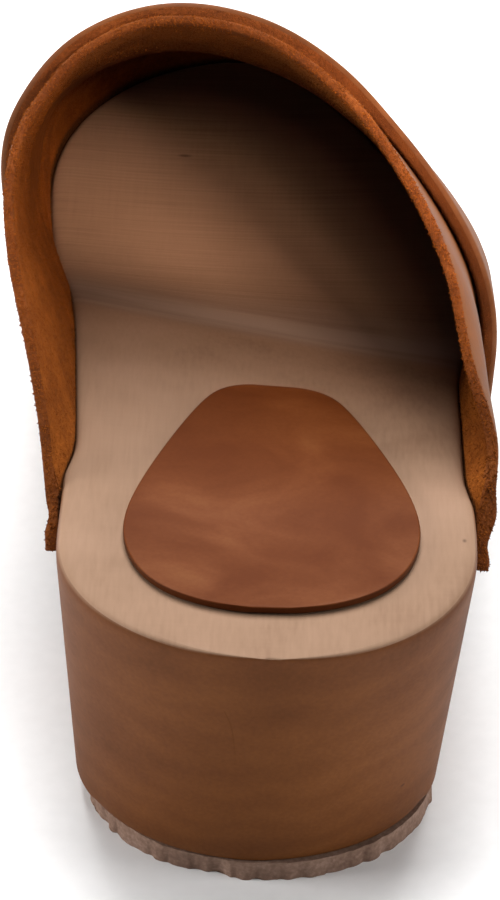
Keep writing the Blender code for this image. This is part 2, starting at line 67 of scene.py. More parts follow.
# Camera, from the photograph's fitted view.
PHOTO_HEIGHT = 900
CAMERA_AIM = Vector((0.204, -59.025, 53.781)) * MM
CAMERA_TURN = math.radians(-0.396)
CAMERA_RISE = math.radians(36.489)
CAMERA_ROLL = math.radians(1.259)
CAMERA_FAR = 661.054 * MM
CAMERA_FOCUS_PX = 3766.6
SENSOR = 36.0

# Leather. The flesh side is drawn in until it meets what it lies on.
LEATHER_MERGE = 0.3 * MM
CUT_EDGE_ROUND = 0.5 * MM
LASTING_WAVE = 18 * MM
LASTING_WAVE_HEIGHT = 0.25 * MM
SUNK = 0.1 * MM
CLOSE_FULLY = 1.0 * MM
CLOSE_REACH = 3.5 * MM
STRAP_REACH = 4.5 * MM
STRAP_SHUT_X = 6 * MM
STRAP_OPEN_X = 24 * MM
STRAP_OPEN_Y = -6 * MM
STRAP_SHUT_Y = 8 * MM
STRAP_OPEN_SHARE = 0.6
STRAP_ROLL = 0.9 * MM

# Soft swells and pinches of the back corners of the leather, -1 for the medial side and 1 for the lateral.
TAILS_END = -60 * MM
TAIL_LEATHER = 1.3 * MM
TAIL_MOVES = (
    {"side": -1, "y": -74.4 * MM, "reach": 1.7 * MM, "out": 0.9 * MM},
    {"side": -1, "y": -71.4 * MM, "reach": 1.3 * MM, "out": -0.3 * MM},
    {"side": 1, "y": -70.4 * MM, "reach": 2.2 * MM, "out": 0.65 * MM},
    {"side": 1, "y": -74.4 * MM, "reach": 1.3 * MM, "out": -0.25 * MM},
    {"side": 1, "y": -77.2 * MM, "reach": 1.6 * MM, "out": 0.8 * MM},
)

# Painted shade on the raw hide: width of the shadow line along the wood and how much it widens towards the toe,
# and how much darker the undersides and the strap's lateral edge are painted.
PAINTED_SHADE_LINE = 0.8 * MM
PAINTED_SHADE_TOE = 1.2 * MM
PAINTED_SHADE_TOE_FROM = 20 * MM
PAINTED_SHADE_TOE_TO = 90 * MM
PAINTED_SHADE_UNDER = 0.5
PAINTED_SHADE_STRAP = 0.35
PAINTED_SHADE_SIDE_FROM = 5 * MM
PAINTED_SHADE_SIDE_TO = 28 * MM

# Loose fibres of the raw hide, from a band below its upper edge, and longer tufts from the cut itself.
NAP_BAND = 30 * MM
NAP_ROOT = 0.08 * MM
NAP_LEAN = 0.8
UPPER_NAP = {"count": 45000, "width": 0.11 * MM, "shortest": 0.1 * MM, "longest": 0.42 * MM, "seed": 5}
UPPER_TUFTS = {"count": 9000, "width": 0.2 * MM, "shortest": 0.15 * MM, "longest": 0.5 * MM, "seed": 7}
STRAP_NAP = {"count": 14000, "width": 0.11 * MM, "shortest": 0.08 * MM, "longest": 0.3 * MM, "seed": 6}

# Wood. Tall edges are cut up before the sole is rounded, and low ones stay crisp, against the rubber.
WOOD_SHARP = math.radians(38)
TALL_EDGE = 7 * MM
TALL_EDGE_CUTS = 3
LOW_EDGES = 6 * MM

# The break of the footbed slants across the shoe. Its place is measured forward after turning it square to the
# shoe, and its grey streaks from there: partly the wood's streaks, partly painted light and shade of the crease.
BREAK_SLANT = math.radians(8.6)
BREAK_Y = 1.2 * MM
STREAKS_BEGIN = -7 * MM
STREAKS_FULL_FROM = 1 * MM
STREAKS_FULL_TO = 3 * MM
STREAKS_END = 32 * MM
STREAK_AND_SHADE_SHARE = 0.75

# Small dark knots and flecks of the wood, sizes in millimetres.
PIN_KNOTS = (
    {"at": Vector((-15.9, 85.6, 23.6)) * MM, "size": (2.0, 0.8, 3.0), "dark": 0.5},
    {"at": Vector((37.3, -82.4, 53.1)) * MM, "size": (0.5, 0.8, 0.8), "dark": 0.6},
    {"at": Vector((28.0, -103.4, 15.8)) * MM, "size": (0.8, 0.8, 0.5), "dark": 0.6},
)

# Pad.
PAD_EDGE_ROUND = 0.35 * MM

# Rubber edge, trimmed by hand.
RUBBER_SHARP = math.radians(70)
RUBBER_EDGE_ROUND = 0.3 * MM
TRIM_ALONG = 0.3 * MM
TRIM_DEEP = 0.35 * MM
TRIM_TOP_SHARE = 0.35
TRIM_MIDDLE = 2.0 * MM
TRIM_STEP_X = -2.2 * MM
TRIM_STEP_LENGTH = 13 * MM
TRIM_STEP_DEEP = 1.5 * MM
TRIM_RINGS = (
    {"above": -1 * MM, "up_to": TRIM_MIDDLE, "neighbours": 1},
    {"above": TRIM_MIDDLE, "up_to": math.inf, "neighbours": 4},
)

# Studio, in metres, watts and degrees. The boxes are soft and white and point at the shoe. The lamps are small and
# warm, with snoots: a row of four for the middle of the footbed, a wide one and one for the left quarter.
FLOOR_SIZE = 6.0
SHOE_MIDDLE = Vector((0, 0, 0.04))
ROOM_LIGHT = 0.17
LAMP_TINT = "#FFDFC8"
THROAT_LAMP = {"aim": (0.0, 0.036, 0.035), "angle": 7, "radius": 0.03}
SOFT_BOXES = (
    {"name": "toe_box", "place": (0.0, 0.78, 1.18), "size": 0.9, "power": 28},
    {"name": "top_box", "place": (0.0, 0.15, 1.4), "size": 0.7, "power": 9},
    {"name": "left_box", "place": (-1.2, -0.15, 0.5), "size": 0.5, "power": 12},
    {"name": "right_box", "place": (1.2, -0.25, 0.4), "size": 0.5, "power": 8},
)
LAMPS = (
    {"name": "throat_lamp_1", "place": (0.06, -0.382, 0.38), "power": 7.5, **THROAT_LAMP},
    {"name": "throat_lamp_2", "place": (0.12, -0.364, 0.38), "power": 10, **THROAT_LAMP},
    {"name": "throat_lamp_3", "place": (0.17, -0.349, 0.38), "power": 10, **THROAT_LAMP},
    {"name": "throat_lamp_4", "place": (0.22, -0.334, 0.38), "power": 8, **THROAT_LAMP},
    {"name": "throat_fill", "place": (0.02, -0.38, 0.37), "aim": (0.004, 0.055, 0.036), "angle": 9, "power": 9,
     "radius": 0.07},
    {"name": "quarter_lamp", "place": (0.1, -0.4, 0.37), "aim": (-0.045, 0.005, 0.073), "angle": 8, "power": 20,
     "radius": 0.04},
)


def pick(piece, kind, test):
    """Edit mode with only those verts, edges or faces chosen that pass the test."""
    bpy.ops.object.mode_set(mode="EDIT")
    bpy.ops.mesh.select_mode(type=kind)
    bpy.ops.mesh.select_all(action="DESELECT")
    bpy.ops.object.mode_set(mode="OBJECT")
    mesh = piece.data
    items = {"VERT": mesh.vertices, "EDGE": mesh.edges, "FACE": mesh.polygons}[kind]
    for item in items:
        item.select = test(item)
    bpy.ops.object.mode_set(mode="EDIT")


def alone(piece):
    """Only this piece is selected and active."""
    bpy.ops.object.select_all(action="DESELECT")
    piece.select_set(True)
    bpy.context.view_layer.objects.active = piece


def copied(node, name, merge=MERGE):
    """Working copy of a node, its loose triangles merged and joined back into quads."""
    source = frame["nodes"][node]
    alone(source)
    bpy.ops.object.duplicate()
    piece = bpy.context.view_layer.objects.active
    piece.name = name
    piece.data.name = name
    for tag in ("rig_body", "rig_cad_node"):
        del piece[tag]
    piece.parent = None
    piece.data.materials.clear()
    bpy.ops.mesh.customdata_custom_splitnormals_clear()
    bpy.ops.object.mode_set(mode="EDIT")
    bpy.ops.mesh.select_all(action="SELECT")
    bpy.ops.mesh.remove_doubles(threshold=merge)
    bpy.ops.mesh.mark_sharp(clear=True)
    bpy.ops.mesh.faces_shade_smooth()
    bpy.ops.mesh.tris_convert_to_quads(
        face_threshold=math.radians(60), shape_threshold=math.radians(80), topology_influence=1.0)
    bpy.ops.object.mode_set(mode="OBJECT")
    return piece


def modified(piece, kind, **settings):
    """A modifier, set and applied."""
    alone(piece)
    modifier = piece.modifiers.new(kind.lower(), kind)
    for key, value in settings.items():
        setattr(modifier, key, value)
    bpy.ops.object.modifier_apply(modifier=modifier.name)


def rounded(piece, levels):
    """Rounds the piece by subdividing its surface."""
    modified(piece, "SUBSURF", levels=levels, render_levels=levels)


def mark_edges(piece, sharpness=SHARP):
    """Marks the sharp edges, so that each face of the piece is one region."""
    bpy.ops.object.mode_set(mode="EDIT")
    bpy.ops.mesh.select_mode(type="EDGE")
    bpy.ops.mesh.select_all(action="DESELECT")
    bpy.ops.mesh.edges_select_sharp(sharpness=sharpness)
    bpy.ops.mesh.mark_sharp()
    bpy.ops.object.mode_set(mode="OBJECT")


def finish_region(piece, seed, index):
    """Gives the region round one face the finish in that slot."""
    pick(piece, "FACE", lambda face: face.index == seed)
    bpy.ops.mesh.select_linked(delimit={"SHARP"})
    piece.active_material_index = index
    bpy.ops.object.material_slot_assign()
    bpy.ops.object.mode_set(mode="OBJECT")


def roll_grain(piece, width):
    """Rounds the outer corner of the cut edge more, in the finish of the grain."""
    grain = {key for face in piece.data.polygons if face.material_index == GRAIN_SLOT for key in face.edge_keys}
    pick(piece, "EDGE", lambda edge: edge.use_edge_sharp and edge.key in grain)
    bpy.ops.mesh.bevel(offset=width, segments=2, profile=0.5, affect="EDGES", clamp_overlap=False,
                       material=GRAIN_SLOT)
    bpy.ops.mesh.mark_sharp(clear=True)
    bpy.ops.object.mode_set(mode="OBJECT")


def soften_edges(piece, width, segments=2, slot=-1, clamp=False):
    """Rounds the marked edges a little, in the finish of that slot, and takes the marks off."""
    pick(piece, "EDGE", lambda edge: edge.use_edge_sharp)
    bpy.ops.mesh.bevel(offset=width, segments=segments, profile=0.5, affect="EDGES", clamp_overlap=clamp,
                       material=slot)
    bpy.ops.mesh.select_all(action="SELECT")
    bpy.ops.mesh.mark_sharp(clear=True)
    bpy.ops.mesh.faces_shade_smooth()
    bpy.ops.object.mode_set(mode="OBJECT")


def srgb(code):
    """An sRGB hex colour as linear red, green, blue and alpha."""
    parts = [int(code[i:i + 2], 16) / 255 for i in (1, 3, 5)]
    return (*[p / 12.92 if p <= 0.04045 else ((p + 0.055) / 1.055) ** 2.4 for p in parts], 1.0)


def add(tree, kind, feeds=None, stops=None, **settings):
    """A node with its settings, its colour stops and what feeds each of its sockets."""
    made = tree.nodes.new("ShaderNode" + kind)
    for key, value in settings.items():
        setattr(made, key, value)
    for socket, value in (feeds or {}).items():
        if isinstance(value, bpy.types.NodeSocket):
            tree.links.new(value, made.inputs[socket])
        else:
            made.inputs[socket].default_value = value
    for i, (place, code) in enumerate(stops or []):
        elements = made.color_ramp.elements
        element = elements[i] if i < 2 else elements.new(place)
        element.position = place
        element.color = srgb(code)
    return made


def new_finish(name):
    """A new material, its empty node tree and the place on the object."""
    material = bpy.data.materials.new(name)
    material.use_nodes = True
    material.node_tree.nodes.clear()
    tree = material.node_tree
    return material, tree, add(tree, "TexCoord").outputs["Object"]


def per(*sizes_mm):
    """Scale that repeats a pattern about once in each of these millimetres, along x, y and z."""
    return tuple(1000 / size for size in sizes_mm)


def sanded_alder():
    """Alder, carved, sanded and thinly oiled: pale and pinkish on the footbed, which was sanded last. The sides of
    the heel drank more oil and are a deep brown, and faces turning away from up are darkened further with painted
    shade. Faint rings where the carving slopes through them, fine fibres, sanding lines under the vamp and three
    small knots."""
    material, tree, place = new_finish("sanded_alder")
    # Growth rings about 7 mm apart, lying almost flat and rising to the lateral side, much broken up. At a scale
    # of 1 the wave repeats every 0.314 m.
    turned = add(tree, "Mapping", {"Vector": place, "Rotation": (math.radians(4), math.radians(7), 0)})
    rings = add(tree, "TexWave", {"Vector": turned.outputs[0], "Scale": 0.314 * 1000 / 7, "Distortion": 14.0,
                                  "Detail": 4.0, "Detail Scale": 0.35, "Detail Roughness": 0.65},
                bands_direction="Z")
    # Clouds of growth about 45 mm long and 9 mm high.
    layer_place = add(tree, "Mapping", {"Vector": turned.outputs[0], "Scale": per(45, 45, 9)})
    layers = add(tree, "TexNoise", {"Vector": layer_place.outputs[0], "Scale": 1.0, "Detail": 4.0})
    # Fibres about 0.5 mm wide and 25 mm long, drawn a little coarser than real.
    fibre_place = add(tree, "Mapping", {"Vector": place, "Scale": per(0.7, 26, 0.7)})
    fibres = add(tree, "TexNoise", {"Vector": fibre_place.outputs[0], "Scale": 1.0, "Detail": 3.0})
    # Sanding lines across the footbed, about 0.5 mm apart, left under the vamp where no belt reached.
    sand_place = add(tree, "Mapping", {"Vector": place, "Scale": per(30, 0.6, 8)})
    lines = add(tree, "TexNoise", {"Vector": sand_place.outputs[0], "Scale": 1.0, "Detail": 2.0})
    spot = add(tree, "SeparateXYZ", {0: place})
    forward = add(tree, "MapRange", {"Value": spot.outputs["Y"], "From Min": -10 * MM, "From Max": 30 * MM,
                                     "To Min": 0.04, "To Max": 0.4}, interpolation_type="SMOOTHSTEP")
    # Patches of oil, about 30 mm.
    patches = add(tree, "TexNoise", {"Vector": place, "Scale": 1000 / 30, "Detail": 4.0})
    facing = add(tree, "SeparateXYZ", {0: add(tree, "NewGeometry").outputs["Normal"]})
    sloping = add(tree, "MapRange", {"Value": facing.outputs["Z"], "From Min": 0.99, "From Max": 0.9,
                                     "To Min": 0.15, "To Max": 0.38})
    grown = add(tree, "Mix", {0: 0.15, 2: layers.outputs[0], 3: rings.outputs["Fac"]}, data_type="FLOAT")
    ringed = add(tree, "Mix", {0: sloping.outputs[0], 2: patches.outputs[0], 3: grown.outputs[0]},
                 data_type="FLOAT")
    streaked = add(tree, "Mix", {0: 0.2, 2: ringed.outputs[0], 3: fibres.outputs[0]}, data_type="FLOAT")
    worked = add(tree, "Mix", {0: forward.outputs[0], 2: streaked.outputs[0], 3: lines.outputs[0]},
                 data_type="FLOAT")
    pale = add(tree, "ValToRGB", {"Fac": worked.outputs[0]},
               [(0.28, "#745845"), (0.76, "#997A65"), (0.45, "#866A55"), (0.58, "#8E715C")])
    oiled_with_painted_shade = add(tree, "ValToRGB", {"Fac": worked.outputs[0]},
                [(0.28, "#4C290E"), (0.76, "#754620"), (0.45, "#5C3314"), (0.58, "#673B18")])
    # Faces turning from up to sideways take the oiled colour: the oil's deep brown together with painted shade on
    # the sides and over the rounded edges.
    upward = add(tree, "MapRange", {"Value": facing.outputs["Z"], "From Min": 0.2, "From Max": 0.8},
                 interpolation_type="SMOOTHSTEP")
    colour = add(tree, "Mix", {0: upward.outputs[0], 6: oiled_with_painted_shade.outputs[0], 7: pale.outputs[0]}, data_type="RGBA")
    # Greyer streaks about 7 mm wide along the slanting break between the seat and the ball: partly the wood's own
    # streaks, partly painted light and shade, the grey tone of the light and the shade on the crease.
    slanted = add(tree, "Mapping", {"Vector": place, "Rotation": (0, 0, BREAK_SLANT)})
    square = add(tree, "SeparateXYZ", {0: slanted.outputs[0]})
    from_break = add(tree, "Math", {0: square.outputs["Y"], 1: BREAK_Y}, operation="SUBTRACT")
    near_break = add(tree, "MapRange", {"Value": from_break.outputs[0], "From Min": STREAKS_BEGIN,
                                        "From Max": STREAKS_FULL_FROM}, interpolation_type="SMOOTHSTEP")
    past_break = add(tree, "MapRange", {"Value": from_break.outputs[0], "From Min": STREAKS_END,
                                        "From Max": STREAKS_FULL_TO}, interpolation_type="SMOOTHSTEP")
    streak_place = add(tree, "Mapping", {"Vector": slanted.outputs[0], "Scale": per(60, 7, 60)})
    streaks = add(tree, "TexNoise", {"Vector": streak_place.outputs[0], "Scale": 1.0, "Detail": 3.0})
    banded = add(tree, "Math", {0: near_break.outputs[0], 1: past_break.outputs[0]}, operation="MULTIPLY")
    # The grey of these streaks is partly painted light and shade.
    break_streaks_and_shade = add(tree, "ValToRGB", {"Fac": streaks.outputs[0]}, [(0.36, "#7E6A5E"), (0.60, "#9C8A7F")])
    streak_and_shade_share = add(tree, "Math", {0: banded.outputs[0], 1: STREAK_AND_SHADE_SHARE}, operation="MULTIPLY")
    streak_and_shade_mask = add(tree, "Math", {0: streak_and_shade_share.outputs[0], 1: upward.outputs[0]}, operation="MULTIPLY")
    colour = add(tree, "Mix", {0: streak_and_shade_mask.outputs[0], 6: colour.outputs[2], 7: break_streaks_and_shade.outputs[0]},
                 data_type="RGBA")
    for knot in PIN_KNOTS:
        away = add(tree, "VectorMath", {0: place, 1: knot["at"]}, operation="SUBTRACT")
        shape = add(tree, "VectorMath", {0: away.outputs[0], 1: per(*knot["size"])}, operation="MULTIPLY")
        far = add(tree, "VectorMath", {0: shape.outputs[0]}, operation="LENGTH")
        dark = add(tree, "MapRange", {"Value": far.outputs["Value"], "From Min": 0.2, "From Max": 1.0,
                                      "To Min": knot["dark"], "To Max": 0.0}, interpolation_type="SMOOTHSTEP")
        colour = add(tree, "Mix", {0: dark.outputs[0], 6: colour.outputs[2], 7: srgb("#2E1A10")},
                     data_type="RGBA")
    gloss = add(tree, "MapRange", {"Value": worked.outputs[0], "From Min": 0.3, "From Max": 0.7, "To Min": 0.66,
                                   "To Max": 0.55})
    relief = add(tree, "Bump", {"Height": worked.outputs[0], "Strength": 0.4, "Distance": 0.1 * MM})
    shader = add(tree, "BsdfPrincipled", {"Base Color": colour.outputs[2], "Roughness": gloss.outputs[0],
                                          "IOR": 1.5, "Specular IOR Level": 0.1, "Normal": relief.outputs[0]})
    add(tree, "OutputMaterial", {"Surface": shader.outputs[0]})
    return material


def waxed_nubuck():
    """Full-grain tan leather, buffed to nubuck and waxed: matt, mottled where the wax went in unevenly, with
    fine pores and a few paler lines where it was rubbed."""
    material, tree, place = new_finish("waxed_tan_nubuck")
    cloudy = add(tree, "TexNoise", {"Vector": place, "Scale": 1000 / 16, "Detail": 4.0, "Roughness": 0.6})
    grainy = add(tree, "TexNoise", {"Vector": place, "Scale": 1000 / 1.6, "Detail": 3.0})
    mottled = add(tree, "Mix", {0: 0.3, 2: cloudy.outputs[0], 3: grainy.outputs[0]}, data_type="FLOAT")
    tan = add(tree, "ValToRGB", {"Fac": mottled.outputs[0]},
              [(0.32, "#563013"), (0.70, "#744523"), (0.46, "#613616"), (0.56, "#6A3E1C")])
    # Lines about 1.5 mm wide and 14 mm long where the nap was rubbed.
    rubbed_place = add(tree, "Mapping", {"Vector": place, "Rotation": (0.4, 0.2, 0.7), "Scale": per(14, 1.4, 9)})
    rubbed = add(tree, "TexNoise", {"Vector": rubbed_place.outputs[0], "Scale": 1.0, "Detail": 4.0})
    rubbed_mask = add(tree, "MapRange", {"Value": rubbed.outputs[0], "From Min": 0.62, "From Max": 0.78,
                                         "To Max": 0.4})
    colour = add(tree, "Mix", {0: rubbed_mask.outputs[0], 6: tan.outputs[0], 7: srgb("#85593E")}, data_type="RGBA")
    # Pebbles of the grain about 0.7 mm, between pores.
    pebbles = add(tree, "TexVoronoi", {"Vector": place, "Scale": 1000 / 0.7}, feature="SMOOTH_F1")
    height = add(tree, "Mix", {0: 0.5, 2: pebbles.outputs["Distance"], 3: grainy.outputs[0]}, data_type="FLOAT")
    relief = add(tree, "Bump", {"Height": height.outputs[0], "Strength": 0.55, "Distance": 0.1 * MM})
    gloss = add(tree, "MapRange", {"Value": mottled.outputs[0], "From Min": 0.3, "From Max": 0.7, "To Min": 0.55,
                                   "To Max": 0.75})
    shader = add(tree, "BsdfPrincipled", {"Base Color": colour.outputs[2], "Roughness": gloss.outputs[0],
                                          "IOR": 1.5, "Specular IOR Level": 0.15,
                                          "Normal": relief.outputs[0]})
    add(tree, "OutputMaterial", {"Surface": shader.outputs[0]})
    return material


def with_painted_shade(tree, colour, rough):
    """The colour, darkened raggedly by painted shade where the hide's painted-shade share is high."""
    painted_shade = add(tree, "Attribute", attribute_name="painted_shade").outputs["Fac"]
    torn = add(tree, "Math", {0: rough, 1: 0.9, 2: painted_shade}, operation="MULTIPLY_ADD")
    mask = add(tree, "MapRange", {"Value": torn.outputs[0], "From Min": 0.6, "From Max": 1.35})
    # A near-black brown, painted as shade.
    return add(tree, "Mix", {0: mask.outputs[0], 6: colour, 7: srgb("#1A0A03")}, data_type="RGBA").outputs[2]


def flesh_suede():
    """Flesh side of the hide, left rough: a short orange-brown nap in clumps, with no gloss at all, and painted
    shade where it turns down and along the wood."""
    material, tree, place = new_finish("rough_flesh_side")
    # Clumps of nap about 0.8 mm and the finer fibres in them, both drawn a little coarser than real.
    clumps = add(tree, "TexNoise", {"Vector": place, "Scale": 1000 / 0.9, "Detail": 5.0, "Roughness": 0.7})
    brushed = add(tree, "TexNoise", {"Vector": place, "Scale": 1000 / 8, "Detail": 4.0, "Roughness": 0.6})
    nap = add(tree, "Mix", {0: 0.5, 2: brushed.outputs[0], 3: clumps.outputs[0]}, data_type="FLOAT")
    colour = add(tree, "ValToRGB", {"Fac": nap.outputs[0]},
                 [(0.32, "#542807"), (0.68, "#95531C"), (0.46, "#6E370D"), (0.56, "#7D4212")])
    relief = add(tree, "Bump", {"Height": clumps.outputs[0], "Strength": 1.0, "Distance": 0.5 * MM})
    shader = add(tree, "BsdfPrincipled", {"Base Color": with_painted_shade(tree, colour.outputs[0], clumps.outputs[0]),
                                          "Roughness": 0.95, "Specular IOR Level": 0.08, "Sheen Weight": 0.2,
                                          "Sheen Roughness": 0.6, "Sheen Tint": srgb("#B06A2C"),
                                          "Normal": relief.outputs[0]})
    add(tree, "OutputMaterial", {"Surface": shader.outputs[0]})
    return material


def raw_cut_edge():
    """The hide cut with a knife and left raw: hardly paler than the flesh side, with its layers showing."""
    material, tree, place = new_finish("raw_cut_edge")
    fibres = add(tree, "TexNoise", {"Vector": place, "Scale": 1000 / 0.7, "Detail": 5.0, "Roughness": 0.7})
    blots = add(tree, "TexNoise", {"Vector": place, "Scale": 1000 / 6, "Detail": 3.0})
    mixed = add(tree, "Mix", {0: 0.45, 2: fibres.outputs[0], 3: blots.outputs[0]}, data_type="FLOAT")
    colour = add(tree, "ValToRGB", {"Fac": mixed.outputs[0]},
                 [(0.32, "#49220A"), (0.68, "#80471D"), (0.46, "#603010"), (0.56, "#6F3A15")])
    relief = add(tree, "Bump", {"Height": fibres.outputs[0], "Strength": 1.0, "Distance": 0.4 * MM})
    shader = add(tree, "BsdfPrincipled", {"Base Color": with_painted_shade(tree, colour.outputs[0], fibres.outputs[0]),
                                          "Roughness": 0.9, "Specular IOR Level": 0.12, "Sheen Weight": 0.15,
                                          "Sheen Roughness": 0.6, "Sheen Tint": srgb("#B06E34"),
                                          "Normal": relief.outputs[0]})
    add(tree, "OutputMaterial", {"Surface": shader.outputs[0]})
    return material


def polished_sock():
    """Thin tan sock leather, pressed smooth and rubbed with wax: low gloss, paler patches where the wax is thin,
    a darker burnished line round its edge."""
    material, tree, place = new_finish("polished_sock_leather")
    clouds = add(tree, "TexNoise", {"Vector": place, "Scale": 1000 / 22, "Detail": 3.0, "Distortion": 0.9})
    fine = add(tree, "TexNoise", {"Vector": place, "Scale": 1000 / 0.8, "Detail": 3.0})
    mottled = add(tree, "Mix", {0: 0.15, 2: clouds.outputs[0], 3: fine.outputs[0]}, data_type="FLOAT")
    colour = add(tree, "ValToRGB", {"Fac": mottled.outputs[0]},
                 [(0.34, "#532608"), (0.66, "#683A1A"), (0.46, "#5A2C0D"), (0.55, "#613213")])
    facing = add(tree, "SeparateXYZ", {0: add(tree, "NewGeometry").outputs["Normal"]})
    burnished = add(tree, "MapRange", {"Value": facing.outputs["Z"], "From Min": 0.85, "From Max": 0.3,
                                       "To Min": 0.0, "To Max": 0.6})
    edged = add(tree, "Mix", {0: burnished.outputs[0], 6: colour.outputs[0], 7: srgb("#3E1D0B")}, data_type="RGBA")
    pebbles = add(tree, "TexVoronoi", {"Vector": place, "Scale": 1000 / 0.6}, feature="SMOOTH_F1")
    height = add(tree, "Mix", {0: 0.4, 2: pebbles.outputs["Distance"], 3: fine.outputs[0]}, data_type="FLOAT")
    relief = add(tree, "Bump", {"Height": height.outputs[0], "Strength": 0.3, "Distance": 0.05 * MM})
    gloss = add(tree, "MapRange", {"Value": clouds.outputs[0], "From Min": 0.35, "From Max": 0.65, "To Min": 0.6,
                                   "To Max": 0.48})
    shader = add(tree, "BsdfPrincipled", {"Base Color": edged.outputs[2], "Roughness": gloss.outputs[0],
                                          "IOR": 1.5, "Specular IOR Level": 0.08, "Normal": relief.outputs[0]})
    add(tree, "OutputMaterial", {"Surface": shader.outputs[0]})
    return material


def sheet_rubber():
    """Crepe-like sheet rubber, cut with toothed shears: matt grey-brown with a fine crumb and some dust."""
    material, tree, place = new_finish("cut_sheet_rubber")
    crumb = add(tree, "TexNoise", {"Vector": place, "Scale": 1000 / 0.7, "Detail": 3.0})
    dust = add(tree, "TexNoise", {"Vector": place, "Scale": 1000 / 7, "Detail": 4.0})
    mixed = add(tree, "Mix", {0: 0.5, 2: crumb.outputs[0], 3: dust.outputs[0]}, data_type="FLOAT")
    colour = add(tree, "ValToRGB", {"Fac": mixed.outputs[0]},
                 [(0.34, "#6A5043"), (0.68, "#987C6D"), (0.48, "#7D6151"), (0.57, "#896D5D")])
    relief = add(tree, "Bump", {"Height": crumb.outputs[0], "Strength": 0.6, "Distance": 0.12 * MM})
    shader = add(tree, "BsdfPrincipled", {"Base Color": colour.outputs[0], "Roughness": 0.8,
                                          "Specular IOR Level": 0.3, "Normal": relief.outputs[0]})
    add(tree, "OutputMaterial", {"Surface": shader.outputs[0]})
    return material


def floor_paper():
    """Seamless white paper under bright studio light, with the faintest tooth."""
    material, tree, place = new_finish("white_floor_paper")
    tooth = add(tree, "TexNoise", {"Vector": place, "Scale": 1000 / 3, "Detail": 2.0})
    colour = add(tree, "ValToRGB", {"Fac": tooth.outputs[0]}, [(0.3, "#F4F4F4"), (0.7, "#F7F7F7")])
    shader = add(tree, "BsdfPrincipled", {"Base Color": colour.outputs[0], "Roughness": 0.9,
                                          "Specular IOR Level": 0.1})
    add(tree, "OutputMaterial", {"Surface": shader.outputs[0]})
    return material


WOOD = sanded_alder()
NUBUCK = waxed_nubuck()
FLESH = flesh_suede()
CUT_EDGE = raw_cut_edge()
SOCK = polished_sock()
RUBBER = sheet_rubber()
PAPER = floor_paper()

GRAIN_SLOT = 0
FLESH_SLOT = 1
EDGE_SLOT = 2


def belongs(piece, node):
    """The piece is part of the shoe's body, and stands for that node if there is one."""
    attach(piece, "root")
    if node:
        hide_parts(node)


def leather_regions(piece, grain_seed, flesh_seed):
    """Grain outside, flesh inside and the raw edge round both."""
    for finish in (NUBUCK, FLESH, CUT_EDGE):
        piece.data.materials.append(finish)
    for face in piece.data.polygons:
        face.material_index = EDGE_SLOT
    mark_edges(piece)
    finish_region(piece, grain_seed(piece.data.polygons).index, GRAIN_SLOT)
    finish_region(piece, flesh_seed(piece.data.polygons).index, FLESH_SLOT)


def ease(low, high, at):
    """From 0 at the low value to 1 at the high one, with soft ends."""
    share = min(max((at - low) / (high - low), 0.0), 1.0)
    return share * share * (3 - 2 * share)


def verts_of(piece, slot):
    """Verts of the faces with the finish in that slot."""
    mesh = piece.data
    chosen = {v for face in mesh.polygons if face.material_index == slot for v in face.vertices}
    return [mesh.vertices[v] for v in sorted(chosen)]


def draw_in(piece, ground, reach, share):
    """Moves the flesh side until it meets the piece that it lies on."""
    for vert in verts_of(piece, FLESH_SLOT):
        spot = ground.closest_point_on_mesh(vert.co)[1]
        apart = (spot - vert.co).length
        close = 1 - ease(CLOSE_FULLY, reach, apart)
        if apart > 0 and close > 0:
            vert.co += (spot - vert.co) * (1 + SUNK / apart) * close * share(vert.co)


def swell_tails(piece, wood):
    """Swells and pinches the back corners, on the side away from the wood."""
    for vert in piece.data.vertices:
        if vert.co.y > TAILS_END:
            continue
        side = 1 if vert.co.x > 0 else -1
        spot = wood.closest_point_on_mesh(vert.co)[1]
        free = min((spot - vert.co).length / TAIL_LEATHER, 1.0)
        for move in TAIL_MOVES:
            if move["side"] == side:
                near = math.exp(-((vert.co.y - move["y"]) / move["reach"]) ** 2)
                vert.co.x += side * move["out"] * free * near


def spread_painted_shade(piece, wood, lateral):
    """Share of painted shade on the hide: a shadow line along the wood, shade on the undersides and, for the
    strap, shade towards its lateral edge.
    """
    values = piece.data.attributes.new("painted_shade", "FLOAT", "POINT").data
    for vert, value in zip(piece.data.vertices, values):
        spot = wood.closest_point_on_mesh(vert.co)[1]
        wide = PAINTED_SHADE_LINE + PAINTED_SHADE_TOE * ease(PAINTED_SHADE_TOE_FROM, PAINTED_SHADE_TOE_TO, vert.co.y)
        line = 1 - ease(0.3 * wide, wide, (spot - vert.co).length)
        under = PAINTED_SHADE_UNDER * ease(0.25, 0.75, -vert.normal.z)
        value.value = max(line, under, lateral * ease(PAINTED_SHADE_SIDE_FROM, PAINTED_SHADE_SIDE_TO, vert.co.x))


def make_upper(wood):
    """The vamp and quarters, slightly wavy from lasting. The toe's foremost faces tell grain from flesh."""
    piece = copied("upper", "leather_upper", LEATHER_MERGE)
    leather_regions(
        piece,
        lambda faces: max(faces, key=lambda face: face.center.y + (face.normal.y > 0.5)),
        lambda faces: max(faces, key=lambda face: face.center.y + (face.normal.y < -0.5)))
    draw_in(piece, wood, CLOSE_REACH, lambda at: 1.0)
    soften_edges(piece, CUT_EDGE_ROUND, 1, EDGE_SLOT)
    rounded(piece, 2)
    swell_tails(piece, wood)
    waves = bpy.data.textures.new("lasting_waves", "CLOUDS")
    waves.noise_scale = LASTING_WAVE
    modified(piece, "DISPLACE", texture=waves, strength=LASTING_WAVE_HEIGHT, mid_level=0.5)
    spread_painted_shade(piece, wood, 0.0)
    belongs(piece, "upper")
    return piece


